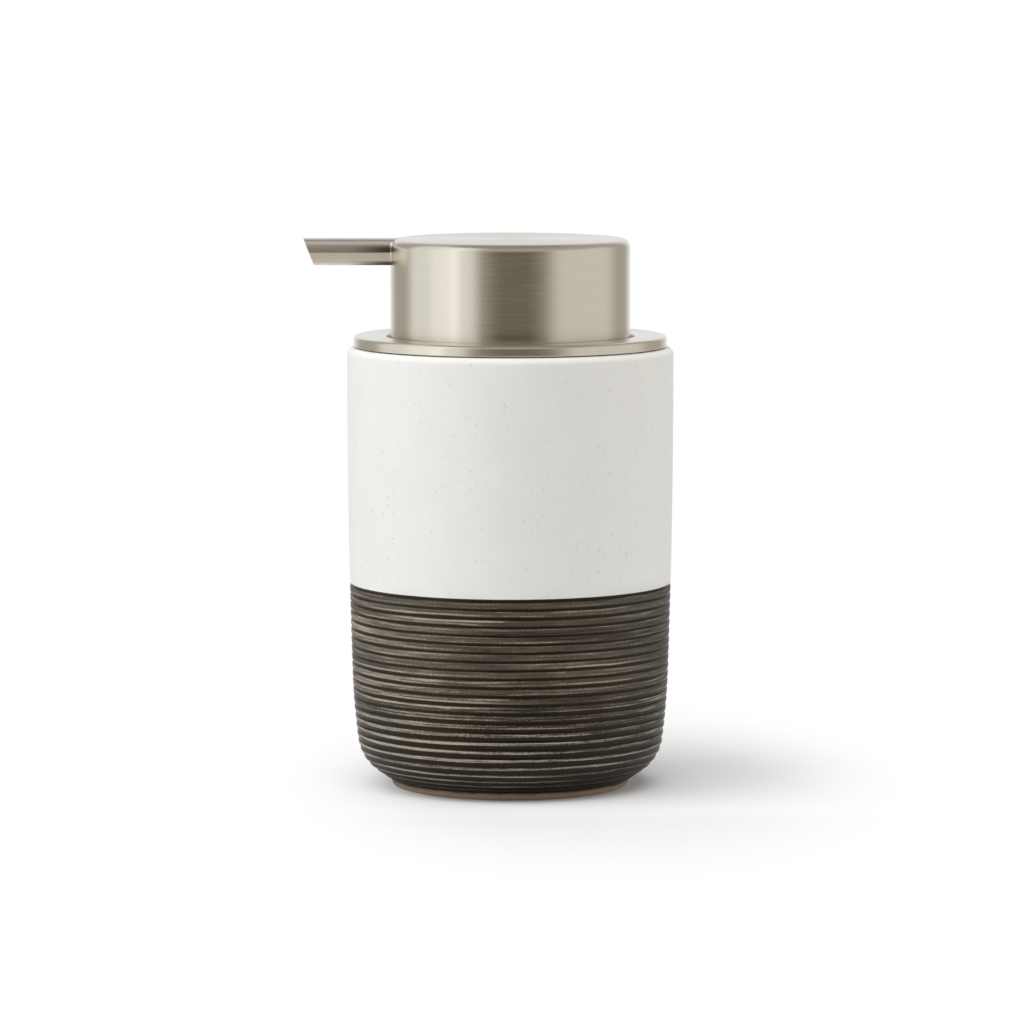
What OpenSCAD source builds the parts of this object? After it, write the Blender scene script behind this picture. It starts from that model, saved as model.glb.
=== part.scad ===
// Soap pump dispenser: a ribbed stoneware jar and a pump unit that lifts off for refilling.
// Millimetres. The origin is on the jar's axis at the table, +Z is up and the spout points along -X.

/* [Jar] */
// Radius of the jar at its widest, near the rim
jar_r = 39; // [38.6:0.1:39.8]
// Height of the jar from the table to its rim
jar_h = 105.2; // [104:0.2:125]
// Thickness of the jar's wall
jar_wall = 5; // [4.4:0.1:5.2]
// Radius of the mouth that the pump unit plugs into
mouth_r = 33.3; // [33.3:0.1:33.8]
// Radius of the foot ring where it meets the body
foot_r = 28.6; // [26:0.1:29.4]
// Height of the foot ring
foot_h = 1.4; // [1:0.1:3]
// Thickness of the base inside the foot ring
base_t = 5.4; // [4:0.1:7]
// Radius of the turn from the side to the underside
corner_r = 10.3; // [8:0.1:11]

/* [Ribbed band] */
// Height of the upper edge of the dark ribbed glaze
band_top = 48.9; // [35:0.1:70]
// Distance from one groove to the next along the surface
rib_pitch = 2.06; // [1.8:0.02:3]
// Width of a groove
groove_w = 0.9; // [0.5:0.1:1.4]
// Depth of a groove
groove_d = 0.2; // [0.1:0.05:0.6]

/* [Collar] */
// Outer radius of the metal collar ring
collar_r = 37.4; // [36.8:0.1:38]
// Height of the collar ring
collar_h = 2.4; // [2.2:0.1:4]
// Radius of the hole that the head slides through
collar_hole_r = 29.6; // [29.2:0.1:29.8]
// Thickness of the gasket between the jar's rim and the collar
gasket_t = 0.4; // [0.3:0.1:1]
// Depth of the well floor below the top of the collar
well_depth = 14.4; // [14.2:0.1:15.4]

/* [Head] */
// Outer radius of the push cap
cap_r = 28.6; // [28:0.05:28.6]
// Height of the cap above the collar when it is up
cap_rise = 23.1; // [21:0.1:26]
// Radius of the cap's rounded top edge
cap_round = 2; // [1:0.1:2.4]
// How far the head goes down when it is pressed
stroke = 12; // [8:0.5:12]
// Distance from the axis to the upper lip of the spout
spout_reach = 49.3; // [42:0.1:60]
// Width of the spout at its crease
spout_w = 7; // [6.6:0.1:8]
// Angle that the spout's end is cut back at
tip_cut = 22; // [0:1:30]

/* [Pump] */
// Outer radius of the pump cylinder
cylinder_r = 7.7; // [7.6:0.1:7.8]
// Radius of the cylinder's bore
bore_r = 6.4; // [6.4:0.05:6.5]
// Outer radius of the stem
stem_r = 3.2; // [3.1:0.05:3.3]
// Outer radius of the dip tube
dip_r = 2.8; // [2.6:0.1:2.8]
// Gap between the dip tube and the floor of the jar
dip_gap = 2; // [1:0.5:5]
// Outer radius of the return spring
spring_r = 5.35; // [5.2:0.05:5.4]
// Radius of the spring's wire
wire_r = 0.45; // [0.35:0.05:0.5]
// Turns of the return spring
turns = 7.5; // [5:0.5:8]
// How far the inlet ball lifts off its seat
ball_lift = 1.5; // [1:0.1:1.5]
// How far the piston slips along the stem to open and close the ports
piston_slip = 1.2; // [0.8:0.1:1.2]

/* [Hidden] */
$fn = 96;

// Running clearance between a shaft and its hole, and a nudge that keeps cuts clean
fit = 0.05;
eps = 0.01;

// Levels of the jar and the collar, from the table up
recess_z = foot_h + 0.2;
floor_z = recess_z + base_t;
collar_base = jar_h + gasket_t;
collar_top = collar_base + collar_h;
collar_t = 0.9;
collar_foot = jar_h + 0.3;
lip_depth = 3.9;

// The well cup: its floor, and the neck in its middle that carries the pump
well_floor = collar_top - well_depth;
well_r = 30.2;
neck_r = 10.5;
neck_top = well_floor + 8.4;
washer_t = 0.8;
flange_t = 1.2;
flange_r = 10.3;
cylinder_top = neck_top + washer_t + flange_t;

// The stem's guide, which the stem's collar stops against when the head is up
guide_depth = 7;
guide_top = cylinder_top + 1.6;
stop_top = cylinder_top - guide_depth - 0.1;

// The inlet valve at the bottom of the cylinder
bore_depth = 46;
shelf_z = cylinder_top - bore_depth;
retainer_t = 2;
retainer_top = shelf_z + retainer_t;
seat_base = shelf_z - 6.5;
socket_top = seat_base - 1.9;
ball_r = 2.2;
ball_z = seat_base + 1.75;

// The stem's lower end, with the plug that the spring pushes on and the piston above it
spring_len = 21.5;
plug_base = retainer_top + spring_len;
stem_base = plug_base + 3.1;
port_z = stem_base + 3.8;
piston_base = plug_base + 2.55;
piston_top = piston_base + 9.15;
stop_base = piston_top + piston_slip + 0.1;
stem_t = 1.5;

// The head
head_top = collar_top + cap_rise;
skirt_base = collar_top - 2;
cap_wall = 0.8;
spout_h = 6.25;
spout_root = cap_r - 1.85;
duct_z = head_top - 3.2;
duct_r = 1.3;
tube_r = 1.9;
tube_in = 12;
stem_top = duct_z - 2.5;

// Lists points along an arc round c from angle a0 to a1
function arc(c, r, a0, a1, n) =
    [for (i = [0:n]) let (a = a0 + (a1 - a0) * i / n) c + r * [cos(a), sin(a)]];

// The jar's side, as a slope up from the foot and three arcs that open out to the widest radius.
// Each angle is how far the surface faces down where one stretch meets the next.
slope_a = 56;
heel_a = 7.27;
belly_a = 1.855;
heel_r = 170;
belly_r = 2100;
arcs_out = corner_r * (cos(heel_a) - cos(slope_a)) + heel_r * (cos(belly_a) - cos(heel_a))
         + belly_r * (1 - cos(belly_a));
s_slope = (jar_r - foot_r - arcs_out) / sin(slope_a);
s_corner = s_slope + corner_r * (slope_a - heel_a) * PI / 180;
s_heel = s_corner + heel_r * (heel_a - belly_a) * PI / 180;
s_belly = s_heel + belly_r * belly_a * PI / 180;

// Continues the side from point p, facing down by a0, for a length s along an arc of radius r
function arc_on(p, a0, r, s) =
    let (a = a0 - s / r * 180 / PI)
    [p[0] + r * (cos(a) - cos(a0)), p[1] + r * (sin(a0) - sin(a)), a];

slope_end = [foot_r + s_slope * sin(slope_a), foot_h + s_slope * cos(slope_a)];
corner_end = arc_on(slope_end, slope_a, corner_r, s_corner - s_slope);
heel_end = arc_on(corner_end, heel_a, heel_r, s_heel - s_corner);
belly_end = arc_on(heel_end, belly_a, belly_r, s_belly - s_heel);

// Radius, height and facing angle of the jar's side at a length s up from the foot
function side(s) =
    s < s_slope ? [foot_r + s * sin(slope_a), foot_h + s * cos(slope_a), slope_a]
    : s < s_corner ? arc_on(slope_end, slope_a, corner_r, s - s_slope)
    : s < s_heel ? arc_on(corner_end, heel_a, heel_r, s - s_corner)
    : s < s_belly ? arc_on(heel_end, belly_a, belly_r, s - s_heel)
    : [jar_r, belly_end[1] + s - s_belly, 0];

// A point on the side, sunk below the surface by d
function sunk(p, d) = [p[0] - d * cos(p[2]), p[1] + d * sin(p[2])];

band_a = asin(sin(belly_a) - (band_top - heel_end[1]) / belly_r);
s_band = s_heel + belly_r * (belly_a - band_a) * PI / 180;
ribs = floor((s_band - 1.5) / rib_pitch);

module stoneware_jar() {
    rim_round = 1.6;
    lip = 0.6;
    inner_r = jar_r - jar_wall;
    cove = 8;
    foot_in = foot_r - 4.4;
    neck_z = jar_h - 14;
    s_rim = s_belly + jar_h - rim_round - belly_end[1];
    foot = [[0, recess_z], [foot_in - 0.6, recess_z], [foot_in, 0], [foot_r - 0.8, 0],
            [foot_r - 0.4, 0.4], [foot_r, foot_h]];
    grooves = [for (k = [ribs:-1:0]) let (s = s_band - groove_w / 2 - k * rib_pitch)
        each [sunk(side(s - groove_w / 2), 0), sunk(side(s), groove_d), sunk(side(s + groove_w / 2), 0)]];
    plain = [for (i = [1:6]) sunk(side(s_band + (s_rim - s_band) * i / 6), 0)];
    rim = arc([jar_r - rim_round, jar_h - rim_round], rim_round, 0, 90, 8);
    mouth = [[mouth_r + lip, jar_h], [mouth_r, jar_h - lip], [mouth_r, neck_z + 2], [inner_r, neck_z]];
    inside = arc([inner_r - cove, floor_z + cove], cove, 0, -90, 8);
    color("white")
    rotate_extrude()
    polygon(concat(foot, grooves, plain, rim, mouth, inside, [[0, floor_z]]));
}

module rim_gasket() {
    color("dimgray")
    translate([0, 0, jar_h])
    difference() {
        cylinder(r = 36, h = gasket_t);
        translate([0, 0, -eps]) cylinder(r = mouth_r - 0.3, h = gasket_t + 2 * eps);
    }
}

module collar_ring() {
    round_out = 0.8;
    round_in = 0.5;
    lip_r = collar_hole_r + 0.5;
    outside = concat([[collar_r, collar_foot]],
                     arc([collar_r - round_out, collar_top - round_out], round_out, 0, 90, 6));
    hole = concat(arc([collar_hole_r + round_in, collar_top - round_in], round_in, 90, 180, 6),
                  [[collar_hole_r, collar_top - lip_depth]]);
    inside = [[lip_r, collar_top - lip_depth], [lip_r, collar_top - collar_t],
              [collar_r - collar_t, collar_top - collar_t], [collar_r - collar_t, collar_foot]];
    color("tan")
    rotate_extrude()
    polygon(concat(outside, hole, inside));
}

module well_cup() {
    wall_out = mouth_r - 1.7;
    floor_t = 1.6;
    neck_in = cylinder_r + 0.3;
    cove = 1.5;
    edge_r = collar_r - collar_t - 0.2;
    edge_top = collar_top - collar_t - fit;
    color("gainsboro")
    rotate_extrude()
    polygon(concat([[neck_in, well_floor - floor_t], [wall_out, well_floor - floor_t],
                    [wall_out, collar_base], [edge_r, collar_base], [edge_r, edge_top],
                    [well_r, edge_top]],
                   arc([well_r - cove, well_floor + cove], cove, 0, -90, 5),
                   [[neck_r, well_floor], [neck_r, neck_top], [neck_in, neck_top]]));
}

module plug_sleeve() {
    in_r = mouth_r - 1.65;
    base_r = in_r + 0.6;
    tip_r = mouth_r - 0.3;
    base_z = well_floor - 0.6;
    fins = 4;
    fin_gap = 2.6;
    outline = [for (i = [0:fins - 1]) let (z = base_z + 1 + i * fin_gap)
        each [[base_r, z], [tip_r, z + 1.1], [tip_r, z + 1.5], [base_r, z + 1.6]]];
    color("silver")
    rotate_extrude()
    polygon(concat([[in_r, base_z], [base_r, base_z]], outline, [[base_r, jar_h], [in_r, jar_h]]));
}

module closure_nut() {
    grips = 30;
    grip_r = 13.4;
    nut_base = well_floor + 0.4;
    lip_z = cylinder_top + eps;
    lip_t = 1.2;
    outline = [for (i = [0:grips - 1], p = [[0, -0.5], [0.18, 0], [0.5, 0], [0.68, -0.5]])
        let (a = (i + p[0]) * 360 / grips) (grip_r + p[1]) * [cos(a), sin(a)]];
    color("whitesmoke")
    difference() {
        translate([0, 0, nut_base]) linear_extrude(height = lip_z + lip_t - nut_base) polygon(outline);
        translate([0, 0, nut_base - eps]) cylinder(r = neck_r + 0.1, h = lip_z - nut_base + eps);
        translate([0, 0, lip_z - eps]) cylinder(r = 8.6, h = lip_t + 1);
    }
}

module cylinder_gasket() {
    color("dimgray")
    translate([0, 0, neck_top])
    difference() {
        cylinder(r = flange_r, h = washer_t);
        translate([0, 0, -eps]) cylinder(r = cylinder_r + 0.1, h = washer_t + 2 * eps);
    }
}

module pump_cylinder() {
    spigot_r = dip_r + 1.5;
    pocket_r = ball_r + 1;
    throat_r = 1.4;
    socket_base = socket_top - 12.6;
    flange_z = cylinder_top - flange_t;
    vent_z = stop_top - 1.9;
    color("ghostwhite")
    difference() {
        rotate_extrude()
        polygon([[throat_r, socket_top], [dip_r + fit, socket_top], [dip_r + fit, socket_base],
                 [spigot_r, socket_base], [spigot_r, seat_base - 0.5], [cylinder_r, shelf_z - 2],
                 [cylinder_r, flange_z], [flange_r, flange_z], [flange_r, cylinder_top],
                 [bore_r, cylinder_top], [bore_r, shelf_z], [pocket_r, shelf_z], [pocket_r, seat_base + 1.5],
                 [throat_r, seat_base]]);
        for (a = [0, 90])
            translate([0, 0, vent_z]) rotate([0, 90, a]) cylinder(r = 0.6, h = 12);
    }
}

wiper_z = guide_top - 1.2;
wiper_r = 5;

module stem_guide() {
    color("whitesmoke")
    difference() {
        union() {
            translate([0, 0, cylinder_top - guide_depth]) cylinder(r = bore_r - fit, h = guide_depth);
            translate([0, 0, cylinder_top]) cylinder(r = 8.4, h = guide_top - cylinder_top);
        }
        translate([0, 0, cylinder_top - guide_depth - 1]) cylinder(r = stem_r + fit, h = guide_depth + 4);
        translate([0, 0, wiper_z]) cylinder(r = wiper_r, h = 2);
    }
}

module stem_wiper() {
    color("dimgray")
    translate([0, 0, wiper_z])
    difference() {
        cylinder(r = wiper_r - eps, h = 1);
        translate([0, 0, -eps]) cylinder(r = stem_r + fit, h = 1 + 2 * eps);
    }
}

module dip_tube() {
    wall = 0.8;
    slant = 35;
    bottom = floor_z + dip_gap;
    top = socket_top - 0.1;
    color("white")
    difference() {
        translate([0, 0, bottom]) cylinder(r = dip_r, h = top - bottom);
        translate([0, 0, bottom - 1]) cylinder(r = dip_r - wall, h = top - bottom + 2);
        translate([-dip_r, -10, bottom])
            rotate([0, -slant, 0]) translate([-5, 0, -20]) cube([25, 20, 20]);
    }
}

module ball_retainer() {
    hub_base = ball_z + ball_r + ball_lift + 0.1;
    spoke_t = 1.6;
    spoke_w = 1.4;
    color("whitesmoke") {
        difference() {
            translate([0, 0, shelf_z]) cylinder(r = bore_r - fit, h = retainer_t);
            translate([0, 0, shelf_z - 1]) cylinder(r = 4.4, h = retainer_t + 2);
        }
        translate([0, 0, hub_base]) cylinder(r = spoke_w, h = retainer_top - hub_base);
        for (a = [0, 120, 240])
            rotate([0, 0, a])
            translate([0, -spoke_w / 2, retainer_top - spoke_t]) cube([5, spoke_w, spoke_t]);
    }
}

module inlet_ball() {
    color("lightsteelblue")
    translate([0, 0, ball_z]) sphere(r = ball_r);
}

// Height of the spring's wire above its lower end, closed for one turn at each end
function coil_z(t, free) =
    let (shut = 2 * wire_r + 0.02, open = (free - 2 * shut) / (turns - 2))
    t < 1 ? t * shut : t < turns - 1 ? shut + (t - 1) * open : free - (turns - t) * shut;

module return_spring() {
    per_turn = 18;
    sides = 6;
    rings = turns * per_turn;
    mean_r = spring_r - wire_r;
    base = retainer_top + wire_r;
    free = spring_len - 2 * wire_r;
    points = [for (i = [0:rings], j = [0:sides - 1])
        let (t = i / per_turn, a = 360 * t, b = 360 * j / sides, r = mean_r + wire_r * cos(b))
        [r * cos(a), r * sin(a), base + coil_z(t, free) + wire_r * sin(b)]];
    skin = [for (i = [0:rings - 1], j = [0:sides - 1])
        let (k = (j + 1) % sides)
        [i * sides + j, i * sides + k, (i + 1) * sides + k, (i + 1) * sides + j]];
    ends = [[for (j = [sides - 1:-1:0]) j], [for (j = [0:sides - 1]) rings * sides + j]];
    color("silver")
    polyhedron(points, concat(skin, ends), convexity = 10);
}

// Half of the spout's outline, from the middle of its top to the middle of its underside.
// A tight upper corner runs into a full side, which ends at a crease; the lower side tucks under.
upper_corner = 1.4;
upper_side = 8.5;
upper_turn = 14;
lower_side = 11.5;
lower_corner = 0.8;
lower_from = -10;
lower_to = -24;
crease = [spout_w / 2, -upper_corner * (1 - sin(upper_turn)) - upper_side * sin(upper_turn)];
upper_c = crease - [upper_side, 0];
corner_c = upper_c + (upper_side - upper_corner) * [cos(upper_turn), sin(upper_turn)];
lower_c = crease - lower_side * [cos(lower_from), sin(lower_from)];
under_c = lower_c + (lower_side - lower_corner) * [cos(lower_to), sin(lower_to)];
half_spout = concat(arc(corner_c, upper_corner, 90, upper_turn, 5),
                    arc(upper_c, upper_side, upper_turn, 0, 4),
                    arc(lower_c, lower_side, lower_from, lower_to, 4),
                    arc(under_c, lower_corner, lower_to, -90, 4));
other_half = [for (i = [len(half_spout) - 1:-1:0]) [-half_spout[i][0], half_spout[i][1]]];
spout_outline = concat(half_spout, other_half);

// The spout's outline as a bar along -X from x0 to x1, scaled about its middle
module spout_bar(x0, x1, grow) {
    middle = [0, -spout_h / 2];
    translate([x1, 0, head_top])
    rotate([90, 0, 90])
    linear_extrude(height = x0 - x1)
    polygon([for (p = spout_outline) middle + grow * (p - middle)]);
}

// What the slanting cut takes off past the spout's end
module past_tip(reach) {
    translate([-reach, -20, head_top])
    rotate([0, -tip_cut, 0]) translate([-40, 0, -40]) cube([40, 40, 80]);
}

module cap_shell() {
    inner_r = cap_r - cap_wall;
    color("tan")
    difference() {
        rotate_extrude()
        polygon(concat([[0, head_top], [0, head_top - cap_wall]],
                       arc([cap_r - cap_round, head_top - cap_round], cap_round - cap_wall, 90, 0, 6),
                       [[inner_r, skirt_base], [cap_r, skirt_base]],
                       arc([cap_r - cap_round, head_top - cap_round], cap_round, 0, 90, 8)));
        spout_bar(-spout_root, -cap_r - 2, 1);
    }
}

module spout_shell() {
    hollow = 0.8;
    color("tan")
    difference() {
        spout_bar(-spout_root, -spout_reach - 1, 1);
        spout_bar(-spout_root + 1, -spout_reach - 2, hollow);
        past_tip(spout_reach);
    }
}

module nozzle_tube() {
    color("whitesmoke")
    difference() {
        translate([-tube_in, 0, duct_z]) rotate([0, -90, 0]) cylinder(r = tube_r, h = spout_reach);
        translate([-tube_in + 1, 0, duct_z]) rotate([0, -90, 0]) cylinder(r = duct_r, h = spout_reach + 2);
        past_tip(spout_reach - 1);
    }
}

module inner_actuator() {
    disc_t = 1.6;
    disc_top = head_top - cap_wall - 0.1;
    rim_r = cap_r - cap_wall - 0.25;
    rim_t = 1.3;
    rim_base = skirt_base + 1.5;
    hub_r = 6;
    hub_base = head_top - 13.1;
    rib_h = 6;
    duct_w = 7.4;
    duct_end = cap_r - 2.85;
    duct_base = duct_z - 3.3;
    color("gainsboro")
    difference() {
        union() {
            translate([0, 0, disc_top - disc_t]) cylinder(r = rim_r - 1, h = disc_t);
            difference() {
                translate([0, 0, rim_base]) cylinder(r = rim_r, h = disc_top - 1 - rim_base);
                translate([0, 0, rim_base - 1]) cylinder(r = rim_r - rim_t, h = 40);
            }
            translate([0, 0, hub_base]) cylinder(r = hub_r, h = disc_top - hub_base);
            translate([-duct_end, -duct_w / 2, duct_base]) cube([duct_end, duct_w, disc_top - duct_base]);
            for (a = [-120:60:120])
                rotate([0, 0, a]) translate([0, -0.6, disc_top - rib_h]) cube([rim_r - 0.6, 1.2, rib_h]);
        }
        translate([0, 0, hub_base - 1]) cylinder(r = stem_r, h = stem_top - hub_base + 1);
        translate([0, 0, stem_top - 1]) cylinder(r = stem_r - stem_t, h = duct_z - stem_top + 1);
        translate([0, 0, duct_z]) rotate([0, -90, 0]) cylinder(r = duct_r, h = cap_r);
        translate([-tube_in, 0, duct_z]) rotate([0, -90, 0]) cylinder(r = tube_r, h = cap_r);
        translate([-cap_r - 1, -4, duct_z - 3.5]) cube([cap_r + 1 - duct_end, 8, 10]);
    }
}

module stem() {
    color("white")
    difference() {
        union() {
            translate([0, 0, stem_base]) cylinder(r = stem_r, h = stem_top - stem_base);
            translate([0, 0, stop_base]) cylinder(r = 4.4, h = stop_top - stop_base);
        }
        translate([0, 0, stem_base - 1]) cylinder(r = stem_r - stem_t, h = stem_top - stem_base + 2);
        for (a = [0, 90])
            translate([0, 0, port_z]) rotate([0, 90, a]) cylinder(r = 0.75, h = 8, center = true);
    }
}

module stem_plug() {
    pilot_r = 4.1;
    pilot_h = 1.9;
    disc_r = 5.8;
    spigot_r = stem_r - stem_t - 2 * eps;
    spigot_h = 2.6;
    color("gainsboro")
    rotate_extrude()
    polygon([[0, plug_base - pilot_h], [pilot_r, plug_base - pilot_h], [pilot_r, plug_base],
             [disc_r, plug_base], [disc_r, plug_base + 1.3], [stem_r + 0.2, stem_base],
             [spigot_r, stem_base], [spigot_r, stem_base + spigot_h], [0, stem_base + spigot_h]]);
}

module piston() {
    lip_r = bore_r - 0.04;
    body_r = bore_r - 1;
    hollow_r = 4.4;
    b = piston_base;
    t = piston_top;
    color("white")
    rotate_extrude()
    polygon([[hollow_r, b], [body_r, b], [lip_r, b + 0.9], [lip_r, b + 2], [body_r, b + 2.8],
             [body_r, t - 2.4], [lip_r, t - 1.6], [lip_r, t], [body_r + 0.3, t], [body_r - 0.3, t - 1.6],
             [hollow_r - 0.1, t - 1.6], [hollow_r - 0.1, t], [stem_r + fit, t], [stem_r + fit, t - 3],
             [hollow_r, t - 3.8]]);
}

stoneware_jar();
rim_gasket();
collar_ring();
well_cup();
plug_sleeve();
closure_nut();
cylinder_gasket();
pump_cylinder();
stem_guide();
stem_wiper();
dip_tube();
ball_retainer();
inlet_ball();
return_spring();
cap_shell();
inner_actuator();
spout_shell();
nozzle_tube();
stem();
stem_plug();
piston();
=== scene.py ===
import functools
import math

import bmesh
import bpy
from mathutils import Matrix, Vector, noise


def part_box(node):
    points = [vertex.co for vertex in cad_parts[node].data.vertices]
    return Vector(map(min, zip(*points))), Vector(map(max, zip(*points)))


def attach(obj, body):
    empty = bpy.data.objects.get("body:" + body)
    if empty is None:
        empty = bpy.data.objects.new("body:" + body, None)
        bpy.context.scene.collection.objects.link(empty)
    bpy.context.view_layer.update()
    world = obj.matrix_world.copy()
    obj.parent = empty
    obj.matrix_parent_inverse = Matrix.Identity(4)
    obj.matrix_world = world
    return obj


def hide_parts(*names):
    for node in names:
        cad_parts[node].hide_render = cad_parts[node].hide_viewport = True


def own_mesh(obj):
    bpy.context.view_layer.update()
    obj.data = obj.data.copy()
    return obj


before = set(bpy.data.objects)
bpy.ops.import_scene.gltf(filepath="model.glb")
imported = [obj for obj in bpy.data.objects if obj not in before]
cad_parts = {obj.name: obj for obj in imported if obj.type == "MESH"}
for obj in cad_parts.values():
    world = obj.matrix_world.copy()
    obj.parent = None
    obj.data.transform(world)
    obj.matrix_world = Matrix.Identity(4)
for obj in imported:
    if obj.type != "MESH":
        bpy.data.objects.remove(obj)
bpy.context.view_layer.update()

MM = 0.001

# ---- Stoneware jar ----------------------------------------------------------------------------
# Slip-cast stoneware, about 5 mm thick. The lower part is combed while the jar turns on a wheel,
# so its ridges wander a little. It is dipped in dark glaze, sprayed matt white above the comb
# marks, and wiped bare at the foot before it is fired.


def linear(code):
    """A hex sRGB colour as linear RGBA."""
    parts = [int(code[i:i + 2], 16) / 255 for i in (1, 3, 5)]
    return [c / 12.92 if c <= 0.04045 else ((c + 0.055) / 1.055) ** 2.4 for c in parts] + [1.0]


def add(tree, kind, sockets=None, **settings):
    """Adds a node with its settings. A socket goes by its name or number (6 and 7 are the two
    colours of a mix) and takes a constant or another node's output."""
    node = tree.nodes.new(kind)
    for name, value in settings.items():
        setattr(node, name, value)
    for name, value in (sockets or {}).items():
        if isinstance(value, bpy.types.NodeSocket):
            tree.links.new(value, node.inputs[name])
        else:
            node.inputs[name].default_value = value
    return node


def new_finish(name, **constants):
    """A material with a Principled shader that has these constants on its own sockets."""
    made = bpy.data.materials.new(name)
    made.use_nodes = True
    tree = made.node_tree
    tree.nodes.clear()
    shader = add(tree, "ShaderNodeBsdfPrincipled",
                 {key.replace("_", " "): value for key, value in constants.items()})
    add(tree, "ShaderNodeOutputMaterial", {"Surface": shader.outputs["BSDF"]})
    return made, tree, shader


def as_piece(bm, name, finishes, sharp=35):
    """Makes the finished mesh an object at the origin, smooth but for its sharp edges."""
    for face in bm.faces:
        face.smooth = True
    for edge in bm.edges:
        edge.smooth = edge.calc_face_angle(0) < math.radians(sharp)
    mesh = bpy.data.meshes.new(name)
    bm.to_mesh(mesh)
    bm.free()
    for finish in finishes:
        mesh.materials.append(finish)
    piece = bpy.data.objects.new(name, mesh)
    bpy.context.scene.collection.objects.link(piece)
    return piece


def turned(corners, steps, cuts=None):
    """Turns a closed outline of (radius, height, rounding) corners, in mm, about the axis.
    cuts gives how many times the stretch that starts at a corner is divided first. Where it is
    given, the layer "along" keeps how far along its stretch each vertex is."""
    bm = bmesh.new()
    along = bm.verts.layers.float.new("along")
    corner = bm.verts.layers.int.new("corner")
    verts = []
    for i, (r, z, _) in enumerate(corners):
        next_r, next_z, _ = corners[(i + 1) % len(corners)]
        count = (cuts or {}).get(i, 0) + 1
        for part in [k / count for k in range(count)]:
            at = (r + (next_r - r) * part, z + (next_z - z) * part)
            verts.append(bm.verts.new((at[0] * MM, 0, at[1] * MM)))
            verts[-1][along] = part
            verts[-1][corner] = 0 if part else i + 1
    for a, b in zip(verts, verts[1:] + verts[:1]):
        if a.co.x > 0 or b.co.x > 0:
            bm.edges.new((a, b))
    bmesh.ops.spin(bm, geom=bm.verts[:] + bm.edges[:], cent=(0, 0, 0), axis=(0, 0, 1),
                   angle=math.tau, steps=steps, use_merge=True)
    bmesh.ops.remove_doubles(bm, verts=bm.verts, dist=0.002 * MM)
    bmesh.ops.recalc_face_normals(bm, faces=bm.faces)
    rings = [[] for _ in corners]
    for edge in bm.edges:
        a, b = (v[corner] for v in edge.verts)
        if a and a == b:
            rings[a - 1].append(edge)
    for ring, (_, _, rounding) in zip(rings, corners):
        if rounding:
            bmesh.ops.bevel(bm, geom=ring, offset=rounding * MM, offset_type="OFFSET",
                            affect="EDGES", segments=max(2, min(8, round(rounding * 5))),
                            profile=0.5, material=-1, clamp_overlap=False)
    bm.verts.layers.int.remove(bm.verts.layers.int["corner"])
    if not cuts:
        bm.verts.layers.float.remove(bm.verts.layers.float["along"])
    return bm


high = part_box("stoneware_jar")[1]
jar_r, jar_h = high[0] / MM, high[2] / MM
FOOT_R, FOOT_H, FOOT_WIDE, UNDERSIDE_Z = 28.6, 1.4, 4.4, 1.6
MOUTH_R, MOUTH_DEPTH, INNER_R, FLOOR_Z = 33.3, 12, 34.0, 7.0
BAND_TOP = 48.9

# The side is a slope up from the foot, then three arcs that open out to the widest radius. Each
# angle is how far the surface faces down where one stretch meets the next.
SLOPE, HEEL, BELLY = 56.0, 7.27, 1.855
CORNER_R, HEEL_R, BELLY_R = 10.3, 170.0, 2100.0


def arc_on(start, faces_down, radius, length):
    """Follows an arc from a point (r, z) on the side; returns (r, z, angle it faces down)."""
    a, b = math.radians(faces_down), math.radians(faces_down) - length / radius
    return (start[0] + radius * (math.cos(b) - math.cos(a)),
            start[1] + radius * (math.sin(a) - math.sin(b)), math.degrees(b))


open_out = (CORNER_R * (math.cos(math.radians(HEEL)) - math.cos(math.radians(SLOPE)))
            + HEEL_R * (math.cos(math.radians(BELLY)) - math.cos(math.radians(HEEL)))
            + BELLY_R * (1 - math.cos(math.radians(BELLY))))
slope_len = (jar_r - FOOT_R - open_out) / math.sin(math.radians(SLOPE))
stretches = [(slope_len, None),
             (CORNER_R * math.radians(SLOPE - HEEL), CORNER_R),
             (HEEL_R * math.radians(HEEL - BELLY), HEEL_R),
             (BELLY_R * math.radians(BELLY), BELLY_R)]


@functools.cache
def side(s):
    """Radius, height and downward angle of the jar's side, s mm up from the foot."""
    at = (FOOT_R, FOOT_H, SLOPE)
    for length, radius in stretches:
        step = min(s, length)
        if radius is None:
            lean = math.radians(at[2])
            at = (at[0] + step * math.sin(lean), at[1] + step * math.cos(lean), at[2])
        else:
            at = arc_on(at, at[2], radius, step)
        s -= step
        if s <= 0:
            return at
    return at[0], at[1] + s, 0.0


def side_length(height):
    """How far up the side a height is, to a micrometre."""
    low, high = 0.0, 2 * jar_h
    while high - low > 0.001:
        middle = (low + high) / 2
        low, high = (middle, high) if side(middle)[1] < height else (low, middle)
    return low


band_s = side_length(BAND_TOP)
rim_s = side_length(jar_h)


# The comb marks are ridges RIB_PITCH apart, the highest FIRST_RIB below the white glaze, and their
# lines stray a little round the jar. POOL is the half width of the pooled glaze as a share of the
# pitch, and POOL_MORE what it gains lower down, over the RUN_LENGTH below RUN_TOP. A pitch has
# TEETH fine lines. The pale line beside each ridge, partly the glaze breaking and partly painted
# highlight, lies BRINK_OFF past its edge. The combing fades in above the foot.
RIB_PITCH, RIB_DEPTH, FIRST_RIB = 2.06, 0.2, 0.45
STRAY, WOBBLE = 0.14, 0.05
POOL, POOL_MORE = 0.25, 0.17
RUN_TOP, RUN_LENGTH = 26, 12
TEETH = 5.2
BRINK_OFF, BRINK_WIDTH = 0.02, 0.06
FADE_START, FADE_LENGTH = 0.9, 1.6


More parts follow.
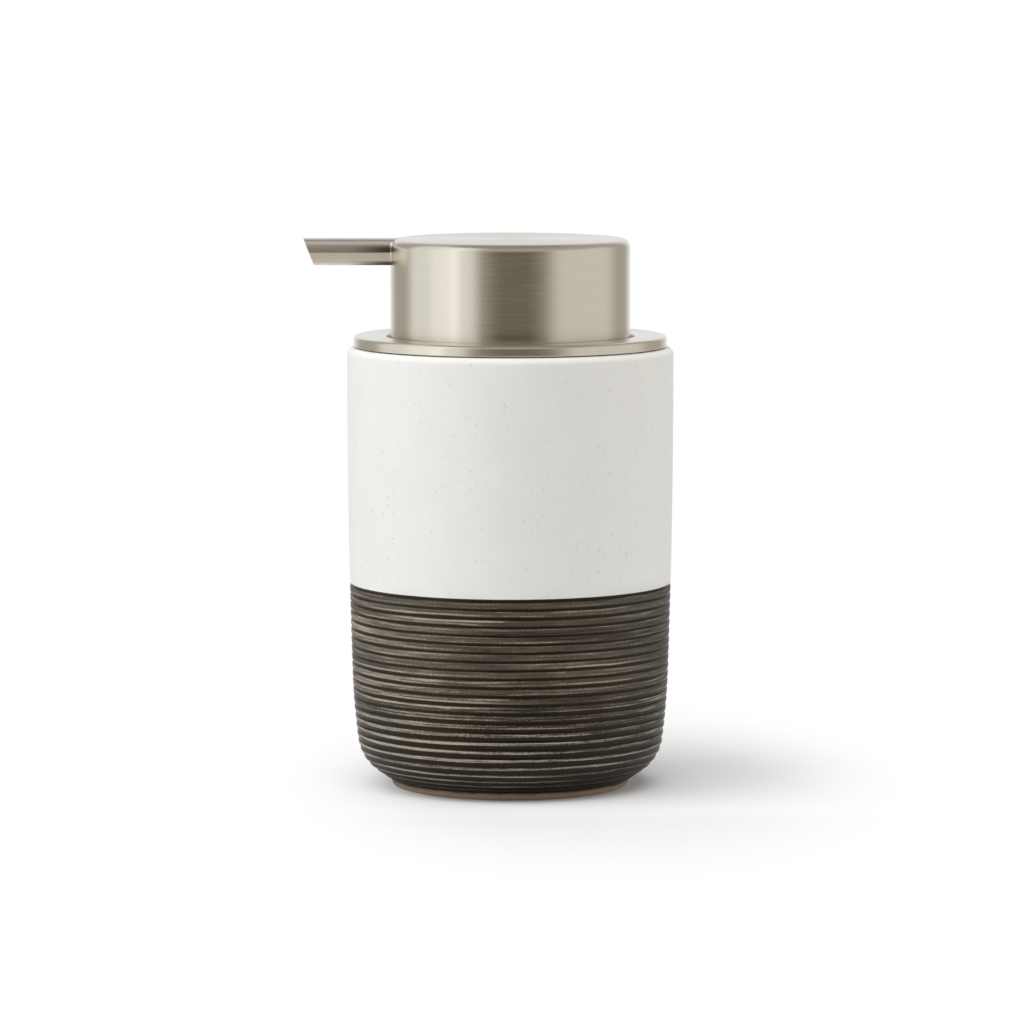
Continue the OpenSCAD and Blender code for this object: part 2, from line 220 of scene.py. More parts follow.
def comb(s, x, y):
    """Depth in mm below the surface, and the glaze's thinness with painted sheen in it, at a length
    s in the direction (x, y) from the axis. 0 is pooled glaze, 1 a flat ridge, and above that an
    edge that it has drawn back from. The ridges are painted paler on the -X side and darker on the
    +X side, as painted sheen and shade."""
    drift = STRAY * noise.noise((x * 1.1, y * 1.1, s * 0.09))
    drift += WOBBLE * noise.noise((x * 4, y * 4, s * 0.2))
    up = (band_s - FIRST_RIB + drift - s) / RIB_PITCH
    number = math.floor(up + 0.5)
    off = up - number
    own = noise.noise((x, y, number * 3.1))
    wide = POOL + 0.08 * own + 0.05 * noise.noise((x * 3, y * 3, number * 9.7))
    lower = min(1.0, max(0.0, (RUN_TOP - s) / RUN_LENGTH))
    half = wide + POOL_MORE * lower
    edge = min(1.0, abs(off) / half)
    ridge = edge ** 3 * (4 - 3 * edge)
    # The comb's teeth score fine lines along the ridges.
    teeth = TEETH + 1.2 * noise.noise((x * 0.8, y * 0.8, number * 1.7))
    fine = 0.5 + 0.5 * math.cos(math.tau * (off - 0.5) * teeth)
    fine *= (1 - lower) * edge * (0.7 + 0.6 * noise.noise((x * 1.5, y * 1.5, number * 5.3 + off)))
    # Each ridge has one edge paler than the other, more often its upper one: partly the glaze
    # breaking there, partly painted highlight.
    above = noise.noise((x * 1.2, y * 1.2, number * 7.9)) > -0.1
    brink = math.exp(-((abs(off) - half - BRINK_OFF) / BRINK_WIDTH) ** 2)
    brink *= 1.0 if (off < 0) == above else 0.35
    brink *= 0.6 + 0.8 * noise.noise((x * 2, y * 2, number * 4.3))
    fade = min(1.0, max(0.0, (s - FADE_START) / FADE_LENGTH))
    # Painted sheen and shade: the ridges' glaze is made thinner, so paler, on the -X side and
    # thicker, so darker, on the +X side, and own adds each ridge's random tone. Lower down, all
    # ridges are paler and the +X side is not darkened.
    side_sheen_and_tone = 0.97 + 0.16 * min(1.0, max(0.0, -1.8 * x)) - 0.1 * max(0.0, x) + 0.35 * own
    side_sheen_and_tone += lower * (0.12 + 0.1 * max(0.0, x))
    thin_and_sheen = ridge * side_sheen_and_tone - 0.45 * fine + (0.5 - 0.2 * lower) * brink
    return RIB_DEPTH * (1 - ridge + 0.15 * fine) * fade, thin_and_sheen * fade


# The outline runs from the middle of the underside out over the foot ring, up the side, over the
# rim and down the inside to the middle of the floor. The combed stretch is cut finely enough for
# the lines that the comb's teeth leave. COMBED and WALL are the corners where that stretch and the
# white one above it start.
COMB_CUTS, WALL_CUTS, STEPS = 340, 20, 208
COMBED, WALL = 4, 5
foot_in = FOOT_R - FOOT_WIDE
corners = [(0, UNDERSIDE_Z, 0), (foot_in - 0.6, UNDERSIDE_Z, 0.4), (foot_in, 0, 0.3),
           (FOOT_R - 0.4, 0, 0.35), (FOOT_R, FOOT_H, 0), (jar_r - 0.001, BAND_TOP, 0),
           (jar_r, jar_h, 1.6), (MOUTH_R, jar_h, 0.6), (MOUTH_R, jar_h - MOUTH_DEPTH, 0.5),
           (INNER_R, jar_h - MOUTH_DEPTH - 2, 0.5), (INNER_R, FLOOR_Z, 8), (0, FLOOR_Z, 0)]
bm = turned(corners, STEPS, {COMBED: COMB_CUTS, WALL: WALL_CUTS})
along = bm.verts.layers.float["along"]
thin_and_sheen_layer = bm.verts.layers.float.new("thin_glaze_and_sheen")
# The white glaze stands this far proud of the dark one at its edge.
GLAZE_STEP = 0.05
for v in bm.verts:
    r, z = v.co.xy.length / MM, v.co.z / MM
    combed = FOOT_H + 0.001 < z < BAND_TOP + 0.001 and r > FOOT_R - 0.01
    plain = BAND_TOP + 0.001 <= z < jar_h - 2 and r > jar_r - 0.01
    if not (combed or plain):
        continue
    out = Vector((v.co.x, v.co.y, 0)).normalized()
    part = v[along]
    if combed:
        # The ring at the band's top starts the next stretch, so its own share is 0.
        s = band_s * (part if part else (1.0 if z > BAND_TOP - 0.1 else 0.0))
        depth, v[thin_and_sheen_layer] = comb(s, out.x, out.y)
        if s > band_s - 0.01:
            depth, v[thin_and_sheen_layer] = GLAZE_STEP, 0.0
    else:
        s = band_s + (rim_s - band_s) * part
        depth = 0.0
    pr, pz, lean = side(s)
    lean = math.radians(lean)
    pr, pz = pr - depth * math.cos(lean), pz + depth * math.sin(lean)
    v.co = out * pr * MM + Vector((0, 0, pz * MM))

bm.verts.layers.float.remove(along)
bm.normal_update()
CLAY_TOP, CLAY_WANDER = 1.8, 0.15
WHITE, DARK, CLAY = 0, 1, 2
for face in bm.faces:
    middle = face.calc_center_median()
    r, z = middle.xy.length / MM, middle.z / MM
    wander = CLAY_WANDER * noise.noise((middle.x * 90, middle.y * 90, 0))
    outside = face.normal.dot(Vector((middle.x, middle.y, 0))) > 0
    if z < CLAY_TOP + wander:
        face.material_index = CLAY
    elif z < BAND_TOP and r > FOOT_R - 0.5 and outside:
        face.material_index = DARK
    else:
        face.material_index = WHITE

# Matt white glaze, sprayed: a soft sheen, with faint grey specks up to half a millimetre across
# where iron in the clay burns through, and a few pits where gas broke out. Each speck or pit lies
# in a cell of this size in mm. NONE is the share of the cells that have none, and REACH how far
# the largest one fades out from its middle, as a share of its cell.
SPECK_CELL, SPECK_NONE, SPECK_REACH = 1.3, 0.35, 0.46
PIT_CELL, PIT_NONE, PIT_REACH = 3.4, 0.5, 0.11
CLOUDING, SKIN_GRAIN = 9, 0.8
white_glaze, tree, shader = new_finish("matt_white_glaze", Roughness=0.6)
where = add(tree, "ShaderNodeTexCoord").outputs["Object"]
specks = add(tree, "ShaderNodeTexVoronoi", {"Vector": where, "Scale": 1 / (SPECK_CELL * MM)})
chance = add(tree, "ShaderNodeSeparateColor", {"Color": specks.outputs["Color"]})
size = add(tree, "ShaderNodeMapRange", {"Value": chance.outputs["Red"], "From Min": SPECK_NONE,
                                        "From Max": 1.0, "To Min": 0.0, "To Max": SPECK_REACH})
spot = add(tree, "ShaderNodeMapRange", {"Value": specks.outputs["Distance"],
                                        "From Min": size.outputs["Result"], "From Max": 0.0},
           interpolation_type="SMOOTHSTEP")
strong = add(tree, "ShaderNodeMapRange", {"Value": chance.outputs["Green"], "To Min": 0.3,
                                          "To Max": 1.0})
fleck = add(tree, "ShaderNodeMath", {0: spot.outputs["Result"], 1: strong.outputs["Result"]},
            operation="MULTIPLY")
pits = add(tree, "ShaderNodeTexVoronoi", {"Vector": where, "Scale": 1 / (PIT_CELL * MM)})
pit_chance = add(tree, "ShaderNodeSeparateColor", {"Color": pits.outputs["Color"]})
pit_size = add(tree, "ShaderNodeMapRange", {"Value": pit_chance.outputs["Red"],
                                            "From Min": PIT_NONE, "From Max": 1.0,
                                            "To Min": 0.0, "To Max": PIT_REACH})
pit = add(tree, "ShaderNodeMapRange", {"Value": pits.outputs["Distance"],
                                       "From Min": pit_size.outputs["Result"], "From Max": 0.0},
          interpolation_type="SMOOTHSTEP")
cloud = add(tree, "ShaderNodeTexNoise", {"Vector": where, "Scale": 1 / (CLOUDING * MM),
                                         "Detail": 3.0})
body = add(tree, "ShaderNodeMix", {"Factor": cloud.outputs["Fac"], 6: linear("#e3e2de"),
                                   7: linear("#e9e8e4")}, data_type="RGBA")
spotted = add(tree, "ShaderNodeMix", {"Factor": fleck.outputs[0], 6: body.outputs[2],
                                      7: linear("#d1d0cd")}, data_type="RGBA")
colour = add(tree, "ShaderNodeMix", {"Factor": pit.outputs["Result"], 6: spotted.outputs[2],
                                     7: linear("#bfbcb6")}, data_type="RGBA")
tree.links.new(colour.outputs[2], shader.inputs["Base Color"])
skin = add(tree, "ShaderNodeTexNoise", {"Vector": where, "Scale": 1 / (SKIN_GRAIN * MM),
                                        "Detail": 2.0})
pitted = add(tree, "ShaderNodeMath", {0: pit.outputs["Result"], 1: -2.0, 2: skin.outputs["Fac"]},
             operation="MULTIPLY_ADD")
bump = add(tree, "ShaderNodeBump", {"Height": pitted.outputs[0], "Strength": 0.2,
                                    "Distance": 0.05 * MM})
tree.links.new(bump.outputs["Normal"], shader.inputs["Normal"])

# Iron-brown satin glaze: near black and glossy where it pools in the grooves, breaking to a dry
# grey-brown on the ridges and to pale lines on their edges. The pale lines are partly painted
# highlight, and the ridges are painted paler on the -X side as painted sheen. It runs down as it
# melts, so lower down only the crests show, beaded with grains of sand, and at the foot it covers
# them too.
# Streaks, sand and patches of tint have these sizes in mm, and the streaks are drawn out round the
# jar. The glaze thickens from RUN_HIGH down to RUN_LOW, and covers the crests from EBB_HIGH down
# to EBB_LOW. The shares are how much the streaks and the sand break its edge.
STREAK, SAND, TINT, DRAWN_OUT = 0.45, 0.4, 2.2, 0.05
RUN_HIGH, RUN_LOW, EBB_HIGH, EBB_LOW = 30, 16, 8, 3
STREAK_SHARE, SAND_SHARE = 0.9, 0.5
dark_glaze, tree, shader = new_finish("dark_breaking_glaze", Roughness=0.3,
                                      Specular_Tint=(1.0, 0.88, 0.7, 1.0))
facing = add(tree, "ShaderNodeLayerWeight", {"Blend": 0.5}).outputs["Facing"]
sheen = add(tree, "ShaderNodeMapRange", {"Value": facing, "From Min": 0.3, "From Max": 0.8,
                                         "To Min": 0.24, "To Max": 0.02})
tree.links.new(sheen.outputs["Result"], shader.inputs["Specular IOR Level"])
where = add(tree, "ShaderNodeTexCoord").outputs["Object"]
thin_and_sheen = add(tree, "ShaderNodeAttribute", attribute_name="thin_glaze_and_sheen").outputs["Fac"]
height = add(tree, "ShaderNodeSeparateXYZ", {"Vector": where}).outputs["Z"]
run = add(tree, "ShaderNodeMapRange", {"Value": height, "From Min": RUN_HIGH * MM,
                                       "From Max": RUN_LOW * MM, "To Min": 0.3, "To Max": 0.8})
drawn = add(tree, "ShaderNodeMapping", {"Vector": where, "Scale": (DRAWN_OUT, DRAWN_OUT, 1)},
            vector_type="POINT")
streaks = add(tree, "ShaderNodeTexNoise", {"Vector": drawn.outputs["Vector"],
                                           "Scale": 1 / (STREAK * MM), "Detail": 4.0})
sand = add(tree, "ShaderNodeTexNoise", {"Vector": where, "Scale": 1 / (SAND * MM), "Detail": 1.0})
lifted = add(tree, "ShaderNodeMath", {0: streaks.outputs["Fac"], 1: STREAK_SHARE, 2: thin_and_sheen},
             operation="MULTIPLY_ADD")
grained = add(tree, "ShaderNodeMath", {0: sand.outputs["Fac"], 1: SAND_SHARE,
                                       2: lifted.outputs[0]}, operation="MULTIPLY_ADD")
bare = add(tree, "ShaderNodeMath", {0: grained.outputs[0], 1: (STREAK_SHARE + SAND_SHARE) / 2},
           operation="SUBTRACT")
clear = add(tree, "ShaderNodeMath", {0: run.outputs["Result"], 1: 0.4, 2: 0.93},
            operation="MULTIPLY_ADD")
shows = add(tree, "ShaderNodeMapRange", {"Value": bare.outputs[0],
                                         "From Min": run.outputs["Result"],
                                         "From Max": clear.outputs[0]})
tint = add(tree, "ShaderNodeTexNoise", {"Vector": drawn.outputs["Vector"],
                                        "Scale": 1 / (TINT * MM), "Detail": 1.0})
crest = add(tree, "ShaderNodeMix", {"Factor": tint.outputs["Fac"], 6: linear("#50402f"),
                                    7: linear("#69645a")}, data_type="RGBA")
# The pale edge lines are partly painted highlight, and the -X side's painted sheen adds to them.
broken_and_highlit = add(tree, "ShaderNodeMapRange", {"Value": bare.outputs[0], "From Min": 0.95,
                                          "From Max": 1.4})
edged = add(tree, "ShaderNodeMix", {"Factor": broken_and_highlit.outputs["Result"], 6: crest.outputs[2],
                                    7: linear("#a79c8b")}, data_type="RGBA")
ebb = add(tree, "ShaderNodeMapRange", {"Value": height, "From Min": EBB_HIGH * MM,
                                       "From Max": EBB_LOW * MM, "To Min": 1.0, "To Max": 0.35})
left_bare = add(tree, "ShaderNodeMath", {0: shows.outputs["Result"], 1: ebb.outputs["Result"]},
                operation="MULTIPLY")
colour = add(tree, "ShaderNodeMix", {"Factor": left_bare.outputs[0], 6: linear("#120e07"),
                                     7: edged.outputs[2]}, data_type="RGBA")
tree.links.new(colour.outputs[2], shader.inputs["Base Color"])
satin = add(tree, "ShaderNodeMapRange", {"Value": shows.outputs["Result"], "To Min": 0.22,
                                         "To Max": 0.45})
tree.links.new(satin.outputs["Result"], shader.inputs["Roughness"])
relief = add(tree, "ShaderNodeMath", {0: streaks.outputs["Fac"], 1: 0.6, 2: sand.outputs["Fac"]},
             operation="MULTIPLY_ADD")
bump = add(tree, "ShaderNodeBump", {"Height": relief.outputs[0], "Strength": 0.6,
                                    "Distance": 0.06 * MM})
tree.links.new(bump.outputs["Normal"], shader.inputs["Normal"])

# Bare stoneware clay: dry, sandy and unglazed. The wet sponge that wiped it left a brown smear of
# glaze below the glaze's edge. Sizes in mm: the grit, the sponge's marks, how far the smear
# wanders, and the heights where it starts and covers the clay.
GRIT, WIPE, SMEAR_WANDER, SMEAR_LOW, SMEAR_HIGH = 0.5, 3, 0.8, 1.3, 2.3
bare_clay, tree, shader = new_finish("bare_stoneware_clay", Roughness=0.9)
where = add(tree, "ShaderNodeTexCoord").outputs["Object"]
grit = add(tree, "ShaderNodeTexNoise", {"Vector": where, "Scale": 1 / (GRIT * MM), "Detail": 4.0})
clay = add(tree, "ShaderNodeMix", {"Factor": grit.outputs["Fac"], 6: linear("#917c66"),
                                   7: linear("#b59f87")}, data_type="RGBA")
height = add(tree, "ShaderNodeSeparateXYZ", {"Vector": where}).outputs["Z"]
wiped = add(tree, "ShaderNodeTexNoise", {"Vector": where, "Scale": 1 / (WIPE * MM), "Detail": 2.0})
edge = add(tree, "ShaderNodeMath", {0: wiped.outputs["Fac"], 1: SMEAR_WANDER * MM, 2: height},
           operation="MULTIPLY_ADD")
smear = add(tree, "ShaderNodeMapRange", {"Value": edge.outputs[0], "From Min": SMEAR_LOW * MM,
                                         "From Max": SMEAR_HIGH * MM},
            interpolation_type="SMOOTHSTEP")
colour = add(tree, "ShaderNodeMix", {"Factor": smear.outputs["Result"], 6: clay.outputs[2],
                                     7: linear("#33291f")}, data_type="RGBA")
tree.links.new(colour.outputs[2], shader.inputs["Base Color"])
bump = add(tree, "ShaderNodeBump", {"Height": grit.outputs["Fac"], "Strength": 0.4,
                                    "Distance": 0.05 * MM})
tree.links.new(bump.outputs["Normal"], shader.inputs["Normal"])

jar = as_piece(bm, "stoneware_jar_glazed", [white_glaze, dark_glaze, bare_clay], sharp=50)
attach(jar, "jar")
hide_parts("stoneware_jar")

# ---- Collar ring ------------------------------------------------------------------------------
# A flat ring spun from brass sheet, turned down at its rim and into its hole, then nickel plated
# and brushed round and round. It is glued on the flange of the plastic cup.

# The brush's lines are this wide in mm. Along the spout they change at ALONG times the rate that
# they change across, and round the axis AROUND times in a radian.
BRUSH_LINE, ALONG, AROUND = 0.2, 0.05, 2.2


def brushed(name, hexes, lengthwise=False, rough=0.22, stretch=0.65, tinted=None):
    """Brushed nickel. The lines run round the axis, or lengthwise along the spout. stretch is how
    much more the brushing blurs across the lines than along them, and tinted is a function that
    changes the colour from place to place."""
    made, tree, shader = new_finish(name, Metallic=1.0, Roughness=rough, Anisotropic=stretch,
                                    Anisotropic_Rotation=0.25)
    where = add(tree, "ShaderNodeTexCoord").outputs["Object"]
    at = add(tree, "ShaderNodeSeparateXYZ", {"Vector": where})
    if lengthwise:
        grain = add(tree, "ShaderNodeCombineXYZ", {"X": at.outputs["Y"], "Y": at.outputs["Z"]})
        way = add(tree, "ShaderNodeCombineXYZ", {"X": 1.0})
        reach = add(tree, "ShaderNodeMath", {0: at.outputs["X"], 1: ALONG / (BRUSH_LINE * MM)},
                    operation="MULTIPLY")
    else:
        flat = add(tree, "ShaderNodeCombineXYZ", {"X": at.outputs["X"], "Y": at.outputs["Y"]})
        radius = add(tree, "ShaderNodeVectorMath", {0: flat.outputs["Vector"]}, operation="LENGTH")
        grain = add(tree, "ShaderNodeCombineXYZ", {"X": radius.outputs["Value"],
                                                   "Y": at.outputs["Z"]})
        round_way = add(tree, "ShaderNodeVectorMath", {0: flat.outputs["Vector"]},
                        operation="NORMALIZE")
        turn = add(tree, "ShaderNodeSeparateXYZ", {"Vector": round_way.outputs["Vector"]})
        back = add(tree, "ShaderNodeMath", {0: turn.outputs["Y"], 1: -1.0}, operation="MULTIPLY")
        way = add(tree, "ShaderNodeCombineXYZ", {"X": back.outputs[0], "Y": turn.outputs["X"]})
        reach = add(tree, "ShaderNodeMath", {0: turn.outputs["Y"], 1: AROUND},
                    operation="MULTIPLY")
    tangent = add(tree, "ShaderNodeVectorTransform", {"Vector": way.outputs["Vector"]},
                  vector_type="VECTOR", convert_from="OBJECT", convert_to="WORLD")
    tree.links.new(tangent.outputs["Vector"], shader.inputs["Tangent"])
    path = add(tree, "ShaderNodeVectorMath", {0: grain.outputs["Vector"],
                                              "Scale": 1 / (BRUSH_LINE * MM)}, operation="SCALE")
    if not lengthwise:
        lift = add(tree, "ShaderNodeCombineXYZ", {"Z": turn.outputs["X"]})
        lift = add(tree, "ShaderNodeVectorMath", {0: lift.outputs["Vector"], "Scale": AROUND},
                   operation="SCALE")
        path = add(tree, "ShaderNodeVectorMath", {0: lift.outputs["Vector"],
                                                  1: path.outputs["Vector"]}, operation="ADD")
    scratch = add(tree, "ShaderNodeTexNoise", {"Vector": path.outputs["Vector"],
                                               "W": reach.outputs[0], "Scale": 1.0, "Detail": 3.0,
                                               "Roughness": 0.6}, noise_dimensions="4D")
    tone = add(tree, "ShaderNodeMix", {"Factor": scratch.outputs["Fac"], 6: linear(hexes[0]),
                                       7: linear(hexes[1])}, data_type="RGBA")
    colour = tinted(tree, tone.outputs[2]) if tinted else tone.outputs[2]
    tree.links.new(colour, shader.inputs["Base Color"])
    satin = add(tree, "ShaderNodeMapRange", {"Value": scratch.outputs["Fac"], "From Min": 0.3,
                                             "From Max": 0.7, "To Min": rough - 0.02,
                                             "To Max": rough + 0.03})
    tree.links.new(satin.outputs["Result"], shader.inputs["Roughness"])
    groove = add(tree, "ShaderNodeBump", {"Height": scratch.outputs["Fac"], "Strength": 0.3,
                                          "Distance": 0.0008 * MM})
    tree.links.new(groove.outputs["Normal"], shader.inputs["Normal"])
    return made


spun_nickel = brushed("brushed_nickel_spun", ("#d7cfbf", "#e3dcce"))
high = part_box("collar_ring")[1]
collar_r, collar_top = high[0] / MM, high[2] / MM
GASKET_SHOWS = 0.3
collar_base = jar_h + GASKET_SHOWS
COLLAR_T, COLLAR_ROUND = 0.9, 0.8
HOLE_R, HOLE_ROUND, LIP_DEPTH, LIP_T = 29.6, 0.5, 3.9, 0.5
# A ring at least this far past each rounding keeps the shading of the flats between them flat.
PAST = 0.2
collar = as_piece(turned([
    (collar_r, collar_base, 0.04), (collar_r, collar_base + 0.3, 0),
    (collar_r, collar_top - (COLLAR_ROUND + PAST), 0), (collar_r, collar_top, COLLAR_ROUND),
    (collar_r - (COLLAR_ROUND + PAST), collar_top, 0),
    (HOLE_R + (HOLE_ROUND + PAST), collar_top, 0), (HOLE_R, collar_top, HOLE_ROUND),
    (HOLE_R, collar_top - LIP_DEPTH, 0.1), (HOLE_R + LIP_T, collar_top - LIP_DEPTH, 0.1),
    (HOLE_R + LIP_T, collar_top - COLLAR_T, 0), (collar_r - COLLAR_T, collar_top - COLLAR_T, 0),
    (collar_r - COLLAR_T, collar_base, 0.1)], 192), "collar_ring_brushed", [spun_nickel])
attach(collar, "pump_unit")
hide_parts("collar_ring")

# ---- Push cap ---------------------------------------------------------------------------------
# A plain drawn cup 0.8 mm thick with a soft edge round its flat top, plated and brushed like the
# collar. It is glued over the plastic actuator.
low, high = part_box("cap_shell")
cap_r, head_top, skirt_base = high[0] / MM, high[2] / MM, low[2] / MM
CAP_WALL, CAP_ROUND, SKIRT_ROUND = 0.8, 2.0, 0.2
cap = as_piece(turned([
    (0, head_top, 0), (cap_r - CAP_ROUND - PAST, head_top, 0), (cap_r, head_top, CAP_ROUND),
    (cap_r, head_top - CAP_ROUND - PAST, 0), (cap_r, skirt_base + (SKIRT_ROUND + PAST), 0),
    (cap_r, skirt_base, SKIRT_ROUND), (cap_r - CAP_WALL, skirt_base, SKIRT_ROUND),
    (cap_r - CAP_WALL, head_top - CAP_WALL, CAP_ROUND - CAP_WALL),
    (0, head_top - CAP_WALL, 0)], 192), "push_cap_brushed", [spun_nickel])
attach(cap, "head")
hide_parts("cap_shell")

# ---- Spout ------------------------------------------------------------------------------------
# A short tube pressed from the same sheet: a flat top in line with the cap's, full sides down to a
# crease, and a tucked-in underside. Its end is cut back at a slant, and its root is brazed to the
# cap with a small fillet. It is brushed lengthwise.
low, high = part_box("spout_shell")
tip_x, spout_base = low[0] / MM, low[2] / MM
SPOUT_W, TIP_CUT, HOLLOW = 7.0, 22.0, 0.8


def arc(centre, radius, start, stop, count):
    """Points (y, z) along an arc, with the way that the surface faces at each."""
    turns = [math.radians(start + (stop - start) * i / count) for i in range(count + 1)]
    return [(centre[0] + radius * math.cos(a), centre[1] + radius * math.sin(a),
             math.cos(a), math.sin(a)) for a in turns]


def beside(centre, reach, angle):
    """The point this far from a centre, at this angle."""
    return (centre[0] + reach * math.cos(math.radians(angle)),
            centre[1] + reach * math.sin(math.radians(angle)))


# The half outline is a rounded corner, a side that bulges down to the crease, a flatter side
# tucked in below it, and a small rounding underneath.
CORNER, UPPER, LOWER, UNDER = 1.4, 9.1, 28.4, 0.8
LEAN, TUCK, TUCK_END = 14, -10, -15
crease = (SPOUT_W / 2, -CORNER - (UPPER - CORNER) * math.sin(math.radians(LEAN)))
upper = beside(crease, -UPPER, 0)
corner = beside(upper, UPPER - CORNER, LEAN)
lower = beside(crease, -LOWER, TUCK)
under = beside(lower, LOWER - UNDER, TUCK_END)
half = (arc(corner, CORNER, 90, LEAN, 8) + arc(upper, UPPER, LEAN, 0, 6)[1:]
        + arc(lower, LOWER, TUCK, TUCK_END, 4)[1:] + arc(under, UNDER, TUCK_END, -90, 7)[1:])
outline = half + [(-y, z, -ny, nz) for y, z, ny, nz in reversed(half)]


def wall_x(y, z):
    """Where the cap's skin is, level with z below its top."""
    over = max(0.0, z + CAP_ROUND)
    r = cap_r - CAP_ROUND + math.sqrt(max(0.0, CAP_ROUND ** 2 - over ** 2))
    return -math.sqrt(r * r - y * y)


def slant_x(z):
    """Where the tip is cut back to, level with z below the cap's top."""
    return tip_x - z * math.tan(math.radians(TIP_CUT))


# The fillet is a slope of braze that starts a little inside the cap's skin. It is larger above the
# crease than below it, and changes over FILLET_BLEND.
FILLET_TOP, FILLET_LOW, FILLET_BLEND, FILLET_STEPS, SUNK = 0.28, 0.1, 1.2, 6, 0.15
rings = []
for j in range(FILLET_STEPS + 1):
    run_out = math.sin(math.pi / 2 * j / FILLET_STEPS)
    ring = []
    for y, z, ny, nz in outline:
        share = min(1.0, max(0.0, (z - crease[1] + FILLET_BLEND / 2) / FILLET_BLEND))
        size = FILLET_LOW + (FILLET_TOP - FILLET_LOW) * share * share * (3 - 2 * share)
        push = size * (1 - run_out)
        reach = size * run_out
        wy, wz = y + ny * push, min(0.0, z + min(0.0, nz) * push)
        x = wall_x(wy, wz) + SUNK - reach - SUNK * j / FILLET_STEPS
        ring.append(Vector((x, wy, wz + head_top)) * MM)
    rings.append(ring)
# After the fillet come a straight ring, the tip's outer and inner edge and the hollow's far end.
STRAIGHT_FROM, HOLLOW_END = 1, 2
middle_z = (spout_base - head_top) / 2
outer = [(y, z) for y, z, _, _ in outline]
inner = [(y * HOLLOW, middle_z + (z - middle_z) * HOLLOW) for y, z in outer]
for points, x_at in ((outer, lambda z: -cap_r - STRAIGHT_FROM), (outer, slant_x),
                     (inner, slant_x), (inner, lambda z: -cap_r + HOLLOW_END)):
    rings.append([Vector((x_at(z), y, z + head_top)) * MM for y, z in points])
bm = bmesh.new()
place = bm.verts.layers.int.new("place")
verts = [bm.verts.new(p) for p in rings[0]]
for i, v in enumerate(verts):
    v[place] = i
loops = [[bm.edges.new((a, b)) for a, b in zip(verts, verts[1:] + verts[:1])]]
for ring in rings[1:]:
    grown = bmesh.ops.extrude_edge_only(bm, edges=loops[-1])["geom"]
    moved = [v for v in grown if isinstance(v, bmesh.types.BMVert)]
    for v in moved:
        v.co = ring[v[place]]
    loops.append([e for e in grown if isinstance(e, bmesh.types.BMEdge)
                  and all(v in moved for v in e.verts)])
bm.verts.layers.int.remove(place)
TIP_ROUND = 0.1
tip_edges = loops[-3] + loops[-2]
bmesh.ops.bevel(bm, geom=tip_edges, offset=TIP_ROUND * MM, offset_type="OFFSET",
                affect="EDGES", segments=2, profile=0.5, material=-1)
bmesh.ops.recalc_face_normals(bm, faces=bm.faces)
# How far the painted shade reaches along the spout from the cap, in mm.
SHADE_REACH = 12


def painted_shade_and_highlight(tree, tone):
    """Paints shade into the metal in the corner by the cap, and a painted highlight along the line
    by its top edges. The painted shade fades away from the cap. It lies on the upper sides, down to
    the crease, and again at the bottom."""
    where = add(tree, "ShaderNodeTexCoord").outputs["Object"]
    height = add(tree, "ShaderNodeSeparateXYZ", {"Vector": where}).outputs["Z"]
    flat = add(tree, "ShaderNodeVectorMath", {0: where, 1: (1, 1, 0)}, operation="MULTIPLY")
    out = add(tree, "ShaderNodeVectorMath", {0: flat.outputs["Vector"]}, operation="LENGTH")
    near_cap = add(tree, "ShaderNodeMapRange", {"Value": out.outputs["Value"],
                                                "From Min": (cap_r + SHADE_REACH) * MM,
                                                "From Max": (cap_r - 0.5) * MM},
                   interpolation_type="SMOOTHSTEP")

    def down(start, stop):
        """Rises from 0 to 1 from one depth below the cap's top to the other, in mm."""
        made = add(tree, "ShaderNodeMapRange", {"Value": height,
                                                "From Min": (head_top - start) * MM,
                                                "From Max": (head_top - stop) * MM},
                   interpolation_type="SMOOTHSTEP")
        return made.outputs["Result"]

    # Painted shade on the upper sides, down to the crease, and at the bottom, fading away from the
    # cap.
    sides = add(tree, "ShaderNodeMath", {0: down(0.8, 2.4), 1: down(3.35, 3.0)},
                operation="MULTIPLY")
    shaded = add(tree, "ShaderNodeMath", {0: sides.outputs[0], 1: down(5.0, 5.6)},
                operation="ADD", use_clamp=True)
    shaded = add(tree, "ShaderNodeMath", {0: shaded.outputs[0], 1: near_cap.outputs["Result"]},
                operation="MULTIPLY")
    dark = add(tree, "ShaderNodeMix", {"Factor": shaded.outputs[0], 6: tone,
                                       7: linear("#6b6356")}, data_type="RGBA")
    # A painted highlight along the line just below the top edges.
    highlit = add(tree, "ShaderNodeMath", {0: down(0.35, 0.7), 1: down(1.7, 1.05)},
               operation="MULTIPLY")
    bright = add(tree, "ShaderNodeMix", {"Factor": highlit.outputs[0], 6: dark.outputs[2],
                                         7: linear("#fffaf1")}, data_type="RGBA")
    return bright.outputs[2]


# The spout's metal has painted shade near the cap and a painted highlight by its top edges.
spout_nickel = brushed("brushed_nickel_lengthwise", ("#dcd4c5", "#ece6da"), lengthwise=True,
                       rough=0.32, stretch=0.45, tinted=painted_shade_and_highlight)
spout = as_piece(bm, "spout_brushed", [spout_nickel], sharp=9)
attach(spout, "head")
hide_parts("spout_shell")

